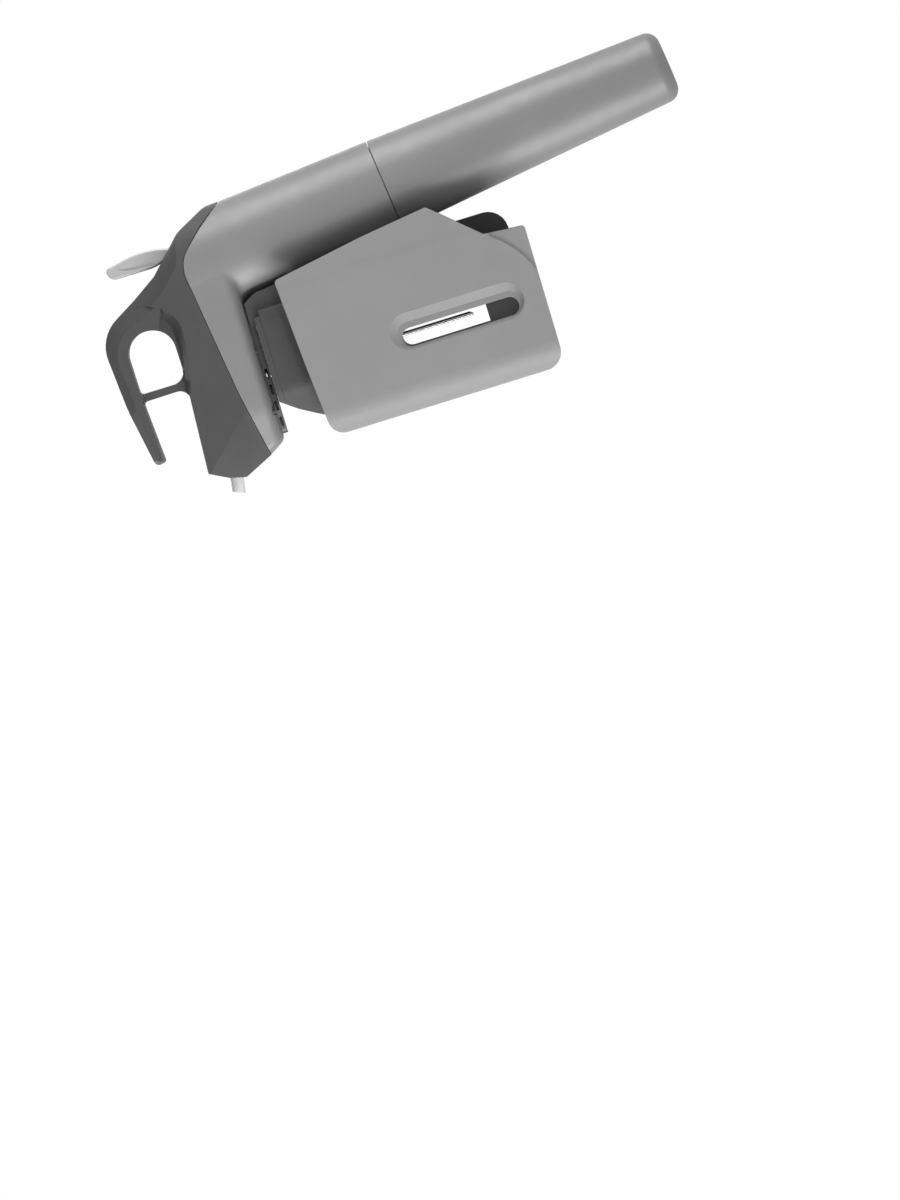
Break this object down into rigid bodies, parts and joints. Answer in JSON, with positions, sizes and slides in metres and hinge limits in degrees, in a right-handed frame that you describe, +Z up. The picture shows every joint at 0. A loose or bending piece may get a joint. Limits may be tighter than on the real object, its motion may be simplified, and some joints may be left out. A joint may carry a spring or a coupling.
{
  "type": "wine preservation dispenser",
  "caption": "Hand-held wine dispenser: a needle head with a loop handle, trigger and gas tube slides on a sprung clamp that grips a bottle neck, and pours through a small spout.",
  "frame": {"origin": "on the needle's axis, in the plane of the lip pad that seats on the bottle's mouth", "axes": "+Z up the needle away from the bottle, +X towards the spout, Y across the symmetric device"},
  "size_m": [0.1156, 0.054, 0.2248],
  "materials": {
    "satin_shell": "satin grey paint",
    "jaw_plastic": "matte light grey moulding",
    "graphite": "dark grey moulding with a fine grain",
    "charcoal": "near-black moulding",
    "rubber": "matte black rubber",
    "steel": "machined stainless steel",
    "bright_steel": "polished steel",
    "trigger_silver": "pale silver paint",
    "brass": "turned brass",
    "clear_white": "milky translucent polymer"
  },
  "bodies": {
    "base": {"base_frame": "graphite", "base_cap": "graphite", "cap_screws": "steel", "slide_bush": "clear_white", "post_bumper": "rubber", "needle_guide": "clear_white", "lip_pad": "rubber", "hinge_pins": "steel", "jaw_spring_left": "steel", "jaw_spring_right": "steel"},
    "head": {"head_shell": "satin_shell", "handle_cover": "graphite", "cover_screws": "steel", "trigger_pin": "steel", "valve_body": "brass", "valve_spring": "steel", "feed_pipe": "steel", "gas_pipe": "steel", "manifold": "charcoal", "needle_hub": "bright_steel", "needle": "bright_steel", "needle_seal": "rubber", "spout": "clear_white", "spout_seal": "rubber", "regulator_body": "brass", "regulator_cap": "brass", "regulator_piston": "steel", "regulator_spring": "steel", "retaining_ring": "steel", "piercing_pin": "steel", "capsule_seal": "rubber", "slide_post": "steel", "post_foot": "charcoal", "foot_screw": "steel", "post_screws": "steel"},
    "trigger": {"trigger": "trigger_silver"},
    "valve": {"valve_stem": "bright_steel"},
    "capsule": {"gas_capsule": "steel"},
    "cup": {"capsule_cup": "satin_shell", "cup_pad": "rubber"},
    "jaw_left": {"jaw_shell_left": "jaw_plastic", "jaw_liner_left": "charcoal", "grip_pads_left": "rubber", "jaw_screws_left": "steel"},
    "jaw_right": {"jaw_shell_right": "jaw_plastic", "jaw_liner_right": "charcoal", "grip_pads_right": "rubber", "jaw_screws_right": "steel"}
  },
  "joints": [
    {"name": "head_slide", "type": "slide", "parent": "base", "child": "head", "axis": [0, 0, 1], "range_m": [0, 0.06]},
    {"name": "jaw_left_open", "type": "hinge", "parent": "base", "child": "jaw_left", "pos_m": [-0.025, 0.0135, 0], "axis": [0, 0, 1], "range_deg": [0, 14], "stiffness_Nm_per_rad": 0.35, "springref_deg": -34.38},
    {"name": "jaw_right_open", "type": "hinge", "parent": "base", "child": "jaw_right", "pos_m": [-0.025, -0.0135, 0], "axis": [0, 0, -1], "range_deg": [0, 14], "stiffness_Nm_per_rad": 0.35, "springref_deg": -34.38},
    {"name": "trigger_press", "type": "hinge", "parent": "head", "child": "trigger", "pos_m": [-0.0505, 0, 0.038], "axis": [0, 1, 0], "range_deg": [0, 12.5], "stiffness_Nm_per_rad": 0.25, "springref_deg": -17.19},
    {"name": "valve_press", "type": "slide", "parent": "head", "child": "valve", "axis": [0, 0, -1], "range_m": [0, 0.00244], "deforming": ["valve_spring"]},
    {"name": "capsule_feed", "type": "slide", "parent": "head", "child": "capsule", "axis": [-0.108, 0, -0.9942], "range_m": [0, 0.006]},
    {"name": "cup_turn", "type": "hinge", "parent": "capsule", "child": "cup", "pos_m": [-0.053, 0, -0.041], "axis": [-0.108, 0, -0.9942], "range_deg": [0, 1440]}
  ],
  "couplings": [
    {"joint": "trigger_press", "follows": "valve_press", "rad_per_m": 89.4},
    {"joint": "cup_turn", "follows": "capsule_feed", "rad_per_m": 4188.8}
  ]
}
